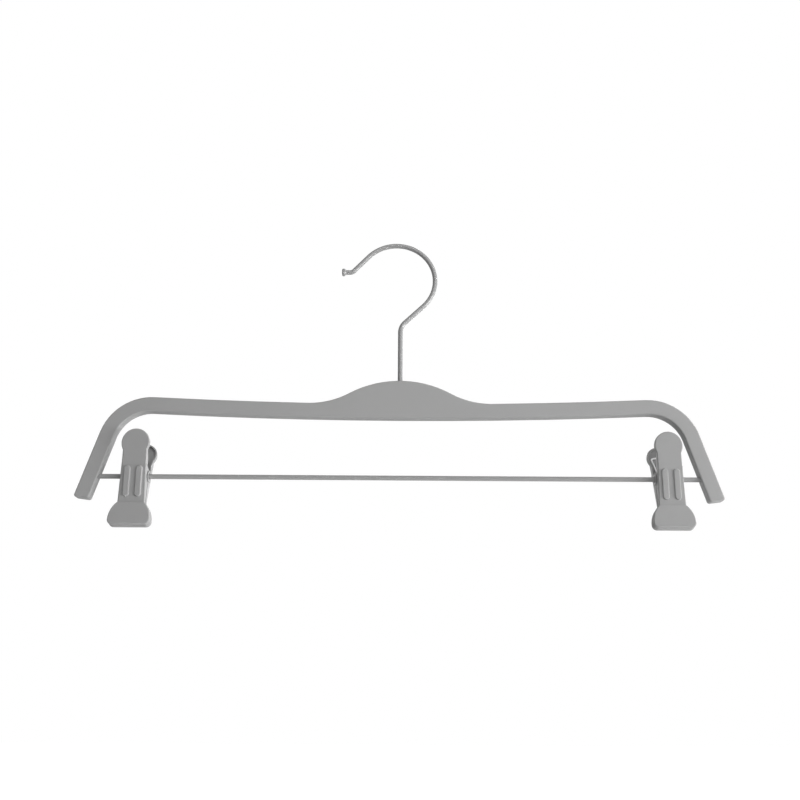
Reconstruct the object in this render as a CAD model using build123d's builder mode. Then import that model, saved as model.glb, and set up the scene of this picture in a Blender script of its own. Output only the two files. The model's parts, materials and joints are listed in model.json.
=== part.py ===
from build123d import *
import os
from math import asin, atan2, cos, hypot, pi, radians, sin, sqrt, tan

os.makedirs("parts", exist_ok=True)

# A skirt hanger: a flat board with a hump, two arms and two leaning legs, a bar across the
# legs, a turning wire hook, and two sprung clips that slide and swing on the bar.
# The origin is where a rail touches the underside of the hook. X runs along the bar,
# Y from front to back, and Z up.

# Allowances
overrun = 1.0  # how far a cut runs past the material
slip_clearance = 0.05  # gap round a part that is pushed into its hole
running_clearance = 0.06  # gap round a part that turns in its hole

# Board
board_width = 400.0  # over the outer corners of the leg tips
board_thickness = 7.0
band_width = 9.5  # height of an arm and width of a leg
board_drop = 120.2  # from the hook's seat to the underside of the board's middle
arm_rise = 3.6  # how far the underside climbs over arm_reach
arm_reach = 155.0
hump_height = 25.1  # board height at its middle
hump_crown_radius = 66.0
hump_foot_radius = 51.5
shoulder_radius = 32.0  # outer corner from arm to leg
leg_tilt = 16.5  # degrees from upright
leg_drop = 51.2  # from the underside of the middle to the leg's outer tip
leg_end_slope = 7.5  # degrees from level, the cut across the leg's end
tip_radius = 1.5
board_edge_radius = 0.9

# Bar
bar_diameter = 3.0
bar_below_board = 37.8  # from the underside of the board's middle to the bar's axis
bar_insertion = 5.0  # depth of the bar's end in each leg

# Hook
hook_wire = 3.1
crook_radius = 25.5  # of the wire's centre line
crook_offset = 2.7  # crook centre, to the left of the stem
crook_tip_angle = 137.0  # degrees, where the crook runs out straight to the tip
crook_foot_angle = -50.0  # degrees, where the crook runs out straight to the stem
tip_drop = 18.1  # from the hook's seat to the level of the tip's neck
tip_bend_radius = 3.5
tip_neck_reach = 35.9  # from the stem's axis to the upset head
tip_head_diameter = 5.1
tip_head_length = 3.1
head_rounding_share = 0.9  # of the head's step out from the wire
stem_bend_radius = 5.0
shank_depth = 18.0  # depth of the hook's shank in the board
shank_end_gap = 0.5
countersink_diameter = 4.6
countersink_angle = 82.0

# Pin that keeps the hook in
pin_diameter = 2.0
pin_depth_in_board = 12.0  # pin axis below the top of the hump
groove_depth = 0.5
pin_recess = 0.2  # pin head below the back face

# Clip, in its own frame: X along the hinge, front towards -Y, Z from jaw to finger pad
clip_swing = 10.0  # degrees, each clip's jaw is swung forward
left_clip_from_leg = 22.6  # from the leg's inner face, along the bar, to the clip's middle
right_clip_from_leg = 19.7
sheet = 1.0
lever_tilt = 13.5  # degrees between the lever's plate and the jaw
hinge_to_face = 7.2  # from the hinge axis to the plate's outer face, along Y
pad_radius = 8.65
pad_height = 18.0  # pad centre above the hinge axis
hinge_width = 15.5  # over the lever's side flanges, level with the hinge
body_taper = 1.75  # degrees, each side of the lever widens towards the jaw
body_overlap = 1.0  # how far the body's sides run on below the bend to the jaw
pad_rim_depth = 2.6
neck_fillet = 1.2
lever_edge_radius = 0.7
flange_reach = 4.7  # from the hinge axis to the nearest edge of a plain flange
flange_root_gap = 0.8  # from the clip's middle plane to the flange at the jaw
rib_width = 4.2
rib_pitch = 7.3
rib_top = 4.0  # above the hinge axis
rib_bottom = 14.9  # below the hinge axis
rib_height = 0.9
rib_taper = 45.0  # degrees

# Jaw and its soft cap
jaw_thickness = 7.0  # over both caps
cap_wall = 0.9
cap_top_drop = 18.4  # cap's upper edge below the hinge axis
cap_top_width = 17.3
cap_shoulder_drop = 21.2
cap_shoulder_width = 21.6
cap_wide_drop = 28.6
cap_width = 25.7
jaw_drop = 32.3  # bottom of the jaw below the hinge axis
cap_corner_radius = 3.0
cap_edge_radius = 0.8
jaw_gap = 0.3

# Hinge tube and ears
tube_play = 0.4  # between the tube and the bar
tube_wall = 0.45
tube_lip_radius = 3.6
tube_lip_thickness = 0.5
tube_lip_rounding = 0.2
ear_gap = 0.2  # between two ears, and between an ear and the tube's lip
ear_radius = 4.2
ear_base_height = 6.0  # half the height of the ear where it leaves the plate

# Spring
spring_wire = 1.2
spring_radius = 3.7  # of the coil's centre line
spring_pitch = 1.72
spring_turns = 3
spring_rest = 0.06  # gap between the spring's ends and the lever plates
spring_end_height = 17.3  # spring's end above the hinge axis
spring_end_length = 6.0
spring_bend_radius = 1.5

# Worked out from the sizes above
board_bottom = -board_drop
board_top = board_bottom + hump_height
leg_tip = board_bottom - leg_drop
bar_level = board_bottom - bar_below_board
under_radius = (arm_reach**2 + arm_rise**2) / (2 * arm_rise)
over_radius = under_radius - band_width
arm_centre = board_bottom + under_radius
leg_tilt_angle = radians(leg_tilt)


def leg_meets_arm(tip_x, tip_z, arm_radius):
    """Where the line up a leg from its tip crosses the arm's arc of the given radius."""
    drop = tip_z - arm_centre
    along = drop * cos(leg_tilt_angle) - tip_x * sin(leg_tilt_angle)
    run = -along - sqrt(along**2 - tip_x**2 - drop**2 + arm_radius**2)
    return (tip_x - run * sin(leg_tilt_angle), tip_z + run * cos(leg_tilt_angle))


# Board outline: half of it, drawn with sharp corners, then mirrored and rounded
crown_centre = board_top - hump_crown_radius
foot_z = (
    (arm_centre**2 - crown_centre**2 + hump_crown_radius**2 - over_radius**2)
    / (2 * (arm_centre - crown_centre))
)
foot_x = sqrt(hump_crown_radius**2 - (foot_z - crown_centre) ** 2)
outer_tip = (board_width / 2, leg_tip)
leg_end_width = band_width / cos(radians(leg_tilt - leg_end_slope))
inner_tip = (
    board_width / 2 - leg_end_width * cos(radians(leg_end_slope)),
    leg_tip - leg_end_width * sin(radians(leg_end_slope)),
)
outer_shoulder = leg_meets_arm(*outer_tip, over_radius)
inner_shoulder = leg_meets_arm(*inner_tip, under_radius)
inner_face_at_bar = inner_tip[0] - (bar_level - inner_tip[1]) * tan(leg_tilt_angle)
bar_half_length = inner_face_at_bar + bar_insertion

with BuildPart() as frame_board:
    with BuildSketch(Plane.XZ):
        with BuildLine():
            RadiusArc((0, board_top), (foot_x, foot_z), hump_crown_radius)
            RadiusArc((foot_x, foot_z), outer_shoulder, -over_radius)
            Polyline(outer_shoulder, outer_tip, inner_tip, inner_shoulder)
            RadiusArc(inner_shoulder, (0, board_bottom), under_radius)
            Line((0, board_bottom), (0, board_top))
        make_face()
        mirror(about=Plane.YZ)
    extrude(amount=board_thickness / 2, both=True)
    rounded_corners = (
        (foot_x, foot_z, hump_foot_radius),
        (*outer_shoulder, shoulder_radius),
        (*inner_shoulder, shoulder_radius - band_width),
        (*outer_tip, tip_radius),
        (*inner_tip, tip_radius),
    )
    for corner_x, corner_z, corner_radius in rounded_corners:
        for side in (-1, 1):
            corner = Vector(side * corner_x, 0, corner_z)
            fillet(frame_board.edges().filter_by(Axis.Y).sort_by_distance(corner)[0], corner_radius)
    faces_front_and_back = frame_board.faces().filter_by(Axis.Y)
    fillet(faces_front_and_back.edges(), board_edge_radius)
    with Locations((0, 0, board_top)):
        CounterSinkHole(
            radius=hook_wire / 2 + running_clearance,
            counter_sink_radius=countersink_diameter / 2,
            depth=shank_depth + shank_end_gap,
            counter_sink_angle=countersink_angle,
        )
    with BuildSketch(Plane.YZ):
        with Locations((0, bar_level)):
            Circle(bar_diameter / 2 + slip_clearance)
    extrude(amount=bar_half_length + slip_clearance, both=True, mode=Mode.SUBTRACT)
    with BuildSketch(Plane.XZ.offset(-board_thickness / 2)):
        with Locations((0, board_top - pin_depth_in_board)):
            Circle(pin_diameter / 2 + slip_clearance)
    extrude(amount=board_thickness / 2, mode=Mode.SUBTRACT)
frame_board.part.label = "frame_board"
export_step(frame_board.part, "parts/frame_board.step")

with BuildPart() as clip_bar:
    with BuildSketch(Plane.YZ):
        with Locations((0, bar_level)):
            Circle(bar_diameter / 2)
    extrude(amount=bar_half_length, both=True)
clip_bar.part.label = "clip_bar"
export_step(clip_bar.part, "parts/clip_bar.step")

groove_radius = hook_wire / 2 - groove_depth
with BuildPart() as hook_retaining_pin:
    with BuildSketch(Plane.XZ.offset(-board_thickness / 2 + pin_recess)):
        with Locations((0, board_top - pin_depth_in_board)):
            Circle(pin_diameter / 2)
    extrude(amount=board_thickness / 2 - pin_recess - groove_radius - running_clearance)
hook_retaining_pin.part.label = "hook_retaining_pin"
export_step(hook_retaining_pin.part, "parts/hook_retaining_pin.step")

# Hook: centre line of the wire, from the shank's end up to the upset head at the tip
crook_centre = Vector(-crook_offset, 0, hook_wire / 2 - crook_radius)


def crook_point(angle):
    """A point of the crook's centre line, at an angle in degrees from +X."""
    turn = radians(angle)
    return crook_centre + Vector(cos(turn), 0, sin(turn)) * crook_radius


foot_slope = radians(90 + crook_foot_angle)
foot_start = crook_point(crook_foot_angle)
stem_corner = Vector(0, 0, foot_start.Z - foot_start.X * tan(foot_slope))
tip_slope = radians(crook_tip_angle - 90)
tip_start = crook_point(crook_tip_angle)
tip_run = (tip_start.Z + tip_drop) / tan(tip_slope)
tip_corner = Vector(tip_start.X - tip_run, 0, -tip_drop)
shank_end = Vector(0, 0, board_top - shank_depth)
neck_end = Vector(-tip_neck_reach, 0, -tip_drop)

with BuildPart() as hook:
    with BuildLine() as hook_line:
        FilletPolyline(shank_end, stem_corner, foot_start, radius=stem_bend_radius)
        ThreePointArc(foot_start, crook_point(0), crook_point(90))
        ThreePointArc(crook_point(90), crook_point((90 + crook_tip_angle) / 2), tip_start)
        FilletPolyline(tip_start, tip_corner, neck_end, radius=tip_bend_radius)
    with BuildSketch(Plane(shank_end)):
        Circle(hook_wire / 2)
    sweep(path=hook_line.wires()[0])
    with BuildSketch(Plane(neck_end, z_dir=(-1, 0, 0))):
        Circle(tip_head_diameter / 2)
    extrude(amount=tip_head_length)
    head_edges = hook.edges().filter_by_position(Axis.X, neck_end.X - tip_head_length, neck_end.X)
    head_circles = head_edges.filter_by(GeomType.CIRCLE)
    head_rims = head_circles.filter_by(lambda rim: rim.radius > (hook_wire + tip_head_diameter) / 4)
    fillet(head_rims, head_rounding_share * (tip_head_diameter - hook_wire) / 2)
    with BuildSketch(Plane.XY.offset(board_top - pin_depth_in_board)):
        Circle(hook_wire / 2 + overrun)
        Circle(groove_radius, mode=Mode.SUBTRACT)
    extrude(amount=pin_diameter / 2 + running_clearance, both=True, mode=Mode.SUBTRACT)
hook.part.label = "hook"
export_step(hook.part, "parts/hook.step")

# Clip: every piece is made about its hinge axis, then placed on the bar on both sides
tilt = radians(lever_tilt)
hinge_half = hinge_width / 2
jaw_face = jaw_thickness / 2 - cap_wall
bend_drop = (hinge_to_face - jaw_face) / tan(tilt)
body_end = bend_drop + body_overlap
body_flare = tan(radians(body_taper))
pad_top = pad_height + pad_radius
jaw_tip = jaw_drop - cap_wall
sheet_along_y = sheet / cos(tilt)
ear_slab = hinge_half - sheet - ear_gap
tube_half_length = hinge_half + ear_gap + tube_lip_thickness
bore_radius = bar_diameter / 2 + tube_play
tube_radius = bore_radius + tube_wall
plate_distance = hinge_to_face * cos(tilt)
plate_front = Plane(
    origin=(0, -hinge_to_face, 0), x_dir=(1, 0, 0), z_dir=(0, -cos(tilt), -sin(tilt))
)


def face_y(height):
    """Y of the plate's outer face at a height above the hinge axis."""
    return -(hinge_to_face + height * tan(tilt))


def jaw_sketch(inset):
    """The jaw seen from the front, pulled in from the cap's outline."""
    shoulder = (cap_shoulder_width / 2 - inset, -cap_shoulder_drop)
    wide = (cap_width / 2 - inset, -cap_wide_drop)
    with BuildSketch() as jaw:
        with BuildLine():
            ThreePointArc((cap_top_width / 2 - inset, -cap_top_drop), shoulder, wide)
            Polyline(
                wide,
                (cap_width / 2 - inset, -jaw_drop + inset),
                (0, -jaw_drop + inset),
                (0, -cap_top_drop),
                (cap_top_width / 2 - inset, -cap_top_drop),
            )
        make_face()
        mirror(about=Plane.YZ)
        fillet(jaw.vertices().group_by(Axis.Y)[0], cap_corner_radius - inset)
    return jaw.sketch


def lever_sketch(inset):
    """The lever's pad and body seen from the front, pulled in by a wall."""
    with BuildSketch() as lever:
        with BuildLine():
            Polyline(
                (0, pad_height),
                (hinge_half - inset - pad_height * body_flare, pad_height),
                (hinge_half - inset + body_end * body_flare, -body_end),
                (0, -body_end),
                close=True,
            )
        make_face()
        mirror(about=Plane.YZ)
        with Locations((0, pad_height)):
            Circle(pad_radius - inset)
    return lever.sketch


def ear_sketch():
    """One hinge ear seen from the side."""
    with BuildSketch() as ear:
        with BuildLine():
            Polyline(
                (0, ear_radius),
                (face_y(ear_base_height) + sheet_along_y / 2, ear_base_height),
                (face_y(-ear_base_height) + sheet_along_y / 2, -ear_base_height),
                (0, -ear_radius),
                close=True,
            )
        make_face()
        Circle(ear_radius)
    return ear.sketch


with BuildPart() as lever_hollow:
    with BuildSketch(Plane.YZ):
        with BuildLine():
            Polyline(
                (face_y(pad_top) + sheet_along_y, pad_top),
                (face_y(-bend_drop) + sheet_along_y, -bend_drop),
                (0, -bend_drop),
                (0, pad_top),
                close=True,
            )
        make_face()
    extrude(amount=hinge_width, both=True)
    with BuildSketch(Plane.XZ):
        add(lever_sketch(sheet))
    extrude(amount=hinge_to_face + pad_top, both=True, mode=Mode.INTERSECT)

with BuildPart() as lever_blank:
    with BuildSketch(Plane.YZ):
        with BuildLine():
            Polyline(
                (face_y(pad_top), pad_top),
                (face_y(-bend_drop), -bend_drop),
                (-jaw_face, -jaw_tip),
                (-jaw_face + sheet, -jaw_tip),
                (-jaw_face + sheet, -bend_drop),
                (-flange_root_gap, -cap_top_drop),
                (-flange_reach, -ear_base_height),
                (-flange_reach, ear_radius),
                (face_y(pad_height - pad_radius) + pad_rim_depth, pad_height - pad_radius),
                (face_y(pad_top) + pad_rim_depth, pad_top),
                close=True,
            )
        make_face()
    extrude(amount=cap_width, both=True)

with BuildPart() as lever_tongue:
    add(lever_blank.part)
    with BuildSketch(Plane.XZ):
        add(jaw_sketch(cap_wall))
    extrude(amount=hinge_to_face + pad_top, both=True, mode=Mode.INTERSECT)

with BuildPart() as front_lever:
    add(lever_blank.part)
    with BuildSketch(Plane.XZ) as lever_front:
        add(lever_sketch(0))
        necks = lever_front.vertices().filter_by_position(Axis.Y, 0, pad_height, (False, False))
        fillet(necks.filter_by(lambda corner: abs(corner.X) > hinge_half / 2), neck_fillet)
    extrude(amount=hinge_to_face + pad_top, both=True, mode=Mode.INTERSECT)
    plates = front_lever.faces().filter_by(plate_front)
    plate = plates.sort_by(Axis(plate_front.origin, plate_front.z_dir))[-1]
    fillet(plate.edges().filter_by(Axis.X, reverse=True), lever_edge_radius)
    add(lever_hollow.part, mode=Mode.SUBTRACT)
    add(lever_tongue.part)
    with BuildSketch(plate_front):
        with Locations((0, (rib_top - rib_bottom) / 2 / cos(tilt))):
            with GridLocations(rib_pitch, 0, 2, 1):
                SlotOverall((rib_top + rib_bottom) / cos(tilt), rib_width, rotation=90)
    extrude(amount=rib_height, taper=rib_taper)
    with BuildSketch(Plane.YZ.offset(hinge_half - sheet)):
        add(ear_sketch())
    extrude(amount=sheet)
    with BuildSketch(Plane.YZ.offset(-ear_slab)):
        add(ear_sketch())
    extrude(amount=sheet)
    with BuildSketch(Plane.YZ.offset(-ear_slab + sheet)):
        with BuildLine():
            Polyline(
                (-flange_reach, ear_radius),
                (face_y(ear_radius) + sheet_along_y / 2, ear_radius),
                (face_y(-ear_base_height) + sheet_along_y / 2, -ear_base_height),
                (-flange_reach, -ear_base_height),
                close=True,
            )
        make_face()
    extrude(amount=-(sheet + ear_gap + sheet / 2))
    with BuildSketch(Plane.YZ):
        Circle(tube_radius + running_clearance)
    extrude(amount=hinge_width, both=True, mode=Mode.SUBTRACT)

with BuildPart() as rear_lever:
    add(front_lever.part.rotate(Axis.Z, 180))

with BuildPart() as front_jaw_cap:
    with BuildSketch(Plane.XZ.offset(jaw_gap / 2)):
        add(jaw_sketch(0))
    extrude(amount=jaw_thickness / 2 - jaw_gap / 2)
    rims = front_jaw_cap.faces().filter_by(Axis.Y).edges()
    fillet(rims.group_by(Axis.Z)[:-1], cap_edge_radius)
    add(front_lever.part, mode=Mode.SUBTRACT)

with BuildPart() as rear_jaw_cap:
    add(front_jaw_cap.part.rotate(Axis.Z, 180))

with BuildPart() as hinge_tube:
    with BuildSketch(Plane.YZ):
        Circle(tube_radius)
    extrude(amount=tube_half_length, both=True)
    for side in (-1, 1):
        with BuildSketch(Plane.YZ.offset(side * tube_half_length)):
            Circle(tube_lip_radius)
        extrude(amount=-side * tube_lip_thickness)
    fillet(hinge_tube.edges().filter_by(GeomType.CIRCLE).group_by(Axis.X)[0], tube_lip_rounding)
    fillet(hinge_tube.edges().filter_by(GeomType.CIRCLE).group_by(Axis.X)[-1], tube_lip_rounding)
    with BuildSketch(Plane.YZ):
        Circle(bore_radius)
    extrude(amount=tube_half_length + overrun, both=True, mode=Mode.SUBTRACT)

# Spring: where its end lies against the plate, the leg's slope, and the turns between the legs
end_distance = plate_distance - sheet - spring_wire / 2 - spring_rest
end_y = end_distance / cos(tilt) + spring_end_height * tan(tilt)
end_radius = hypot(end_y, spring_end_height)
leg_slope = atan2(end_y, spring_end_height) - asin(spring_radius / end_radius)
coil_turn = 2 * pi * spring_turns + pi - 2 * leg_slope
coil_half = spring_pitch * coil_turn / (4 * pi)
coil_steps = round(coil_turn / (pi / 2))


def coil_station(step):
    """Point and unit direction on the coil's centre line, from the rear leg to the front leg."""
    angle = -leg_slope - coil_turn * step / coil_steps
    climb = spring_pitch / (2 * pi * spring_radius) if 0 < step < coil_steps else 0
    x = coil_half * (2 * step / coil_steps - 1)
    point = Vector(x, spring_radius * cos(angle), spring_radius * sin(angle))
    return point, Vector(climb, sin(angle), -cos(angle)).normalized()


def biarc_joint(start, start_direction, end, end_direction):
    """Where, and in which direction, two arcs meet that join start to end smoothly."""
    chord = end - start
    directions = start_direction + end_direction
    spread = 2 * (1 - start_direction.dot(end_direction))
    along = chord.dot(directions)
    reach = (sqrt(along**2 + spread * chord.dot(chord)) - along) / spread
    joint = (start + end + (start_direction - end_direction) * reach) / 2
    return joint, (chord - directions * reach).normalized()


rear_corner = Vector(-coil_half, end_y, spring_end_height)
front_corner = Vector(coil_half, -end_y, spring_end_height)
rear_end = rear_corner + Vector(spring_end_length, 0, 0)
front_end = front_corner - Vector(spring_end_length, 0, 0)
with BuildPart() as spring:
    with BuildLine() as spring_line:
        FilletPolyline(rear_end, rear_corner, coil_station(0)[0], radius=spring_bend_radius)
        for step in range(coil_steps):
            start, start_direction = coil_station(step)
            end, end_direction = coil_station(step + 1)
            joint, joint_direction = biarc_joint(start, start_direction, end, end_direction)
            TangentArc(start, joint, tangent=start_direction)
            TangentArc(joint, end, tangent=joint_direction)
        FilletPolyline(coil_station(coil_steps)[0], front_corner, front_end, radius=spring_bend_radius)
    with BuildSketch(Plane(rear_end, z_dir=(-1, 0, 0))):
        Circle(spring_wire / 2)
    sweep(path=spring_line.wires()[0])

spring_path = spring_line.wires()[0]
samples = 600
spring_points = [spring_path.position_at(index / samples) for index in range(samples + 1)]
near_along = spring_path.length / samples
apart = round(2 * spring_radius / near_along)
least_gap = min(
    (spring_points[first] - spring_points[second]).length
    for first in range(samples + 1)
    for second in range(first + apart, samples + 1)
) - spring_wire
print("spring: least gap to itself", round(least_gap, 3), "mm, turns", round(coil_turn / (2 * pi), 2))

clip_pieces = {
    "hinge_tube": hinge_tube,
    "front_lever": front_lever,
    "rear_lever": rear_lever,
    "front_jaw_cap": front_jaw_cap,
    "rear_jaw_cap": rear_jaw_cap,
    "spring": spring,
}
clip_middles = {
    "left": left_clip_from_leg - inner_face_at_bar,
    "right": inner_face_at_bar - right_clip_from_leg,
}
for side, clip_middle in clip_middles.items():
    for name, piece in clip_pieces.items():
        placed = piece.part.moved(Location((clip_middle, 0, bar_level), (-clip_swing, 0, 0)))
        placed.label = f"{side}_{name}"
        export_step(placed, f"parts/{side}_{name}.step")
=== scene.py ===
"""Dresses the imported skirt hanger: springs, levers, jaw caps, hinge tubes, finishes and studio."""

import json
from math import asin, atan2, cos, hypot, pi, radians, sin, sqrt, tan

import bmesh
import bpy
from bpy.props import FloatProperty, FloatVectorProperty, IntProperty, PointerProperty
from mathutils import Matrix, Vector


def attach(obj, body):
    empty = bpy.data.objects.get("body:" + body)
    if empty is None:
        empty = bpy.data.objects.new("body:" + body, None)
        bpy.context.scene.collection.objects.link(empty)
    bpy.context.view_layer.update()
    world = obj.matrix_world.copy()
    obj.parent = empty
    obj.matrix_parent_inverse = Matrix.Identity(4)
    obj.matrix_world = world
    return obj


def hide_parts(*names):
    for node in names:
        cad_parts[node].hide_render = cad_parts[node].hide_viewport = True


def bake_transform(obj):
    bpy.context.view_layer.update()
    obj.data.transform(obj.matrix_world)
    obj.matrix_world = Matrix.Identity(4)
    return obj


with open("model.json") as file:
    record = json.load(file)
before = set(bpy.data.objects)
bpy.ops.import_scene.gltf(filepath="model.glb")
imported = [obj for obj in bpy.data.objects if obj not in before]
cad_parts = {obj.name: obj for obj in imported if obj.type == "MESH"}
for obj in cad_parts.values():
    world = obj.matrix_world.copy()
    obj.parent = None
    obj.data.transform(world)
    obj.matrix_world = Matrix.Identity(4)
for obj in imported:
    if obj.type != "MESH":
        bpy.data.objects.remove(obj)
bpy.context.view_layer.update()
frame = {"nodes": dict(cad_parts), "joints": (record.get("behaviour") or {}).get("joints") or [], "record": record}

bl_info = {
    "name": "Skirt hanger",
    "version": (1, 0, 0),
    "blender": (4, 5, 0),
    "location": "View3D > Sidebar > Hanger",
    "description": "Dresses a skirt hanger with two sprung clips and sets up its studio",
    "category": "Object",
}

MM = 0.001
SIDES = ("left", "right")
JOINTS = {joint["name"]: joint for joint in frame["joints"]}
FULL_TURN = 2 * pi
QUARTER_TURN = pi / 2
MERGE_DISTANCE = 0.002 * MM
# Faces that meet at more than this angle have a sharp edge between them
SHARP_ANGLE = radians(60)
# A face looks along an axis from this share of its normal on
FACING_SHARE = 0.9
# Up to these angles in degrees, faces of a piece are shaded as one
SMOOTH = {"spring": 40, "hook": 50, "cap": 38, "tube": 35, "lever": 32}


# Sizes and colours

def length(name, description, default_mm):
    """A length shown in the panel, given here in millimetres."""
    default = default_mm * MM
    return FloatProperty(
        name=name, description=description, default=default, unit="LENGTH", precision=5
    )


def angle(name, description, degrees):
    """An angle shown in the panel, given here in degrees."""
    default = radians(degrees)
    return FloatProperty(name=name, description=description, default=default, unit="ROTATION")


def power(name, description, watts):
    """A lamp's power, given here in watts."""
    return FloatProperty(name=name, description=description, default=watts, unit="POWER")


def colour(name, description, grey):
    """A paint or metal colour, a neutral grey unless it is changed."""
    return FloatVectorProperty(
        name=name, description=description, default=(grey,) * 3, subtype="COLOR", min=0, max=1
    )


def share(name, description, default):
    """A share from nothing to all."""
    return FloatProperty(
        name=name, description=description, default=default, subtype="FACTOR", min=0, max=1
    )


class ClipSizes(bpy.types.PropertyGroup):
    """Sizes that the pieces of a clip share, in the clip's own frame."""

    swing: angle("Swing", "Each clip's jaw is swung forward by this much", 10)
    tilt: angle("Lever tilt", "Between a lever's plate and its jaw", 13.5)
    sheet: length("Sheet", "Thickness of the pressed steel", 1.0)
    hinge_to_face: length("Hinge to face", "From the hinge axis to the plate's outer face, along Y", 7.2)
    hinge_width: length("Hinge width", "Over the side flanges at the hinge", 15.5)
    ear_gap: length("Ear gap", "Between two ears, and between an ear and the tube's lip", 0.2)


class LeverSizes(bpy.types.PropertyGroup):
    """Sizes of a pressed lever, with heights above the hinge axis."""

    pad_radius: length("Pad radius", "Round finger pad", 8.65)
    pad_height: length("Pad height", "Middle of the finger pad", 18)
    pad_rim: length("Pad rim", "Depth of the rim round the pad", 2.6)
    flare: angle("Flare", "Each side of the body widens towards the jaw", 1.75)
    edge: length("Edge radius", "Rounding from the plate to its rim", 0.7)
    cut_edge: length("Cut edge", "Rounding of the sheet's cut edge", 0.15)
    hinge_edge: length("Upper flange edge", "From the middle plane, beside and above the ears", 4.7)
    lower_edge: length("Lower flange edge", "From the middle plane, below the hinge", 0.6)
    upper_level: length("Upper level", "Where the flange meets the ears from above", 4.2)
    hinge_level: length("Hinge level", "Where the flange leaves the ears, below the hinge axis", 2.5)
    lower_level: length("Lower level", "Where the lower flange starts, below the hinge axis", 5.6)
    tongue: length("Tongue", "How far the steel runs down inside the cap", 11.5)
    rib_width: length("Rib width", "At the rib's foot", 4.2)
    rib_height: length("Rib height", "Above the plate", 0.9)
    rib_pitch: length("Rib pitch", "Between the ribs' middles", 7.3)
    rib_top: length("Rib top", "Above the hinge axis", 4)
    rib_bottom: length("Rib bottom", "Below the hinge axis", 14.9)
    ear_radius: length("Ear radius", "Round end of an ear", 4.2)
    ear_base: length("Ear base", "Half an ear's height where it leaves the plate", 6)
    hole_play: length("Hole play", "Between an ear's hole and the tube", 0.06)


class CapSizes(bpy.types.PropertyGroup):
    """Sizes of a jaw cap, with levels below the hinge axis."""

    thickness: length("Thickness", "Over both caps", 7)
    gap: length("Gap", "Between the two caps", 0.3)
    top_drop: length("Top", "Level of the upper edge", 18.4)
    top_width: length("Top width", "At the upper edge", 17.3)
    shoulder_drop: length("Shoulder", "Level of the shoulder", 21.2)
    shoulder_width: length("Shoulder width", "At the shoulder", 21.6)
    wide_drop: length("Widest", "Level where the cap is widest", 28.6)
    width: length("Width", "At the widest level", 25.7)
    drop: length("Drop", "Bottom of the cap", 32.3)
    corner: length("Corner radius", "Bottom corners seen from the front", 3)
    edge: length("Edge radius", "Rounding of the faces' rims", 0.8)
    wall: length("Wall", "Lip round the steel at the upper edge", 0.55)
    lip_depth: length("Lip depth", "How deep the socket's mouth is", 0.7)
    groove: length("Groove", "Width and depth of a groove in the gripping face", 0.5)
    groove_pitch: length("Groove pitch", "Between the grooves' middles", 1.6)


class TubeSizes(bpy.types.PropertyGroup):
    """Sizes of the hinge tube."""

    radius: length("Radius", "Outside of the tube", 2.35)
    bore: length("Bore", "Radius of the hole that the bar runs in", 1.9)
    lip_radius: length("Lip radius", "Rolled lip at each end", 3.6)
    lip_thickness: length("Lip thickness", "Of the rolled lip", 0.5)
    lip_edge: length("Lip edge", "Rounding of the lip", 0.2)


class SpringSizes(bpy.types.PropertyGroup):
    """Sizes of the torsion spring."""

    wire: length("Wire", "Diameter of the spring wire", 1.2)
    radius: length("Coil radius", "Of the wire's centre line", 3.7)
    pitch: length("Pitch", "Rise of one turn", 1.72)
    turns: IntProperty(name="Turns", description="Whole turns between the legs", default=3, min=1)
    rest: length("Rest gap", "Between the spring's ends and the lever plates", 0.06)
    end_height: length("End height", "Of the bent ends above the hinge axis", 18.7)
    end_length: length("End length", "Of each bent end", 8)
    splay: length("Splay", "How far a leg leans outward over its length", 3.3)
    end_round: length("End rounding", "At a bent end's cut", 0.2)
    bend: length("Bend radius", "Of the wire's centre line at the corner", 1.5)


class HookSizes(bpy.types.PropertyGroup):
    """The bent wire hook, from the seat under its crook."""

    wire: length("Wire", "Wire diameter", 3.1)
    crook_radius: length("Crook radius", "Of the wire's centre line", 25.5)
    crook_offset: length("Crook offset", "Crook centre to the left of the stem", 2.7)
    tip_angle: angle("Tip angle", "Where the crook runs out straight to the tip", 137)
    foot_angle: angle("Foot angle", "Where the crook runs out straight to the stem", -46)
    stem_bend: length("Stem bend", "Bend radius over the stem", 9.5)
    tip_bend: length("Tip bend", "Bend radius before the tip's neck", 3.5)
    tip_drop: length("Tip drop", "Level of the tip's neck below the seat", 18.1)
    neck_reach: length("Neck reach", "From the stem's axis to the upset head", 35.9)
    head_radius: length("Head radius", "Of the upset head", 2.55)
    head_length: length("Head length", "Of the upset head", 3.1)
    shank_drop: length("Shank drop", "Level of the shank's end below the seat", 113.1)
    groove_drop: length("Groove drop", "Level of the pin's groove below the seat", 107.1)
    groove_width: length("Groove width", "Of the pin's groove", 2.12)
    groove_depth: length("Groove depth", "Of the pin's groove", 0.5)
    shank_round: length("Shank rounding", "At the shank's cut end", 0.3)


class Finishes(bpy.types.PropertyGroup):
    """Colours of the finishes."""

    board: colour("Board paint", "Satin paint on the wooden board", 0.37)
    lever: colour("Lever paint", "Satin paint on the pressed levers", 0.35)
    bar: colour("Bar paint", "Satin paint on the bar", 0.355)
    hook: colour("Hook paint", "Satin paint on the hook", 0.31)
    cap: colour("Cap", "Soft vinyl of the jaw caps", 0.365)
    spring: colour("Spring steel", "Bright drawn wire", 0.95)
    tube: colour("Tube steel", "Plated steel of the hinge tubes", 0.36)
    satin: share("Paint roughness", "How matte the paint is", 0.48)


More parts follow.
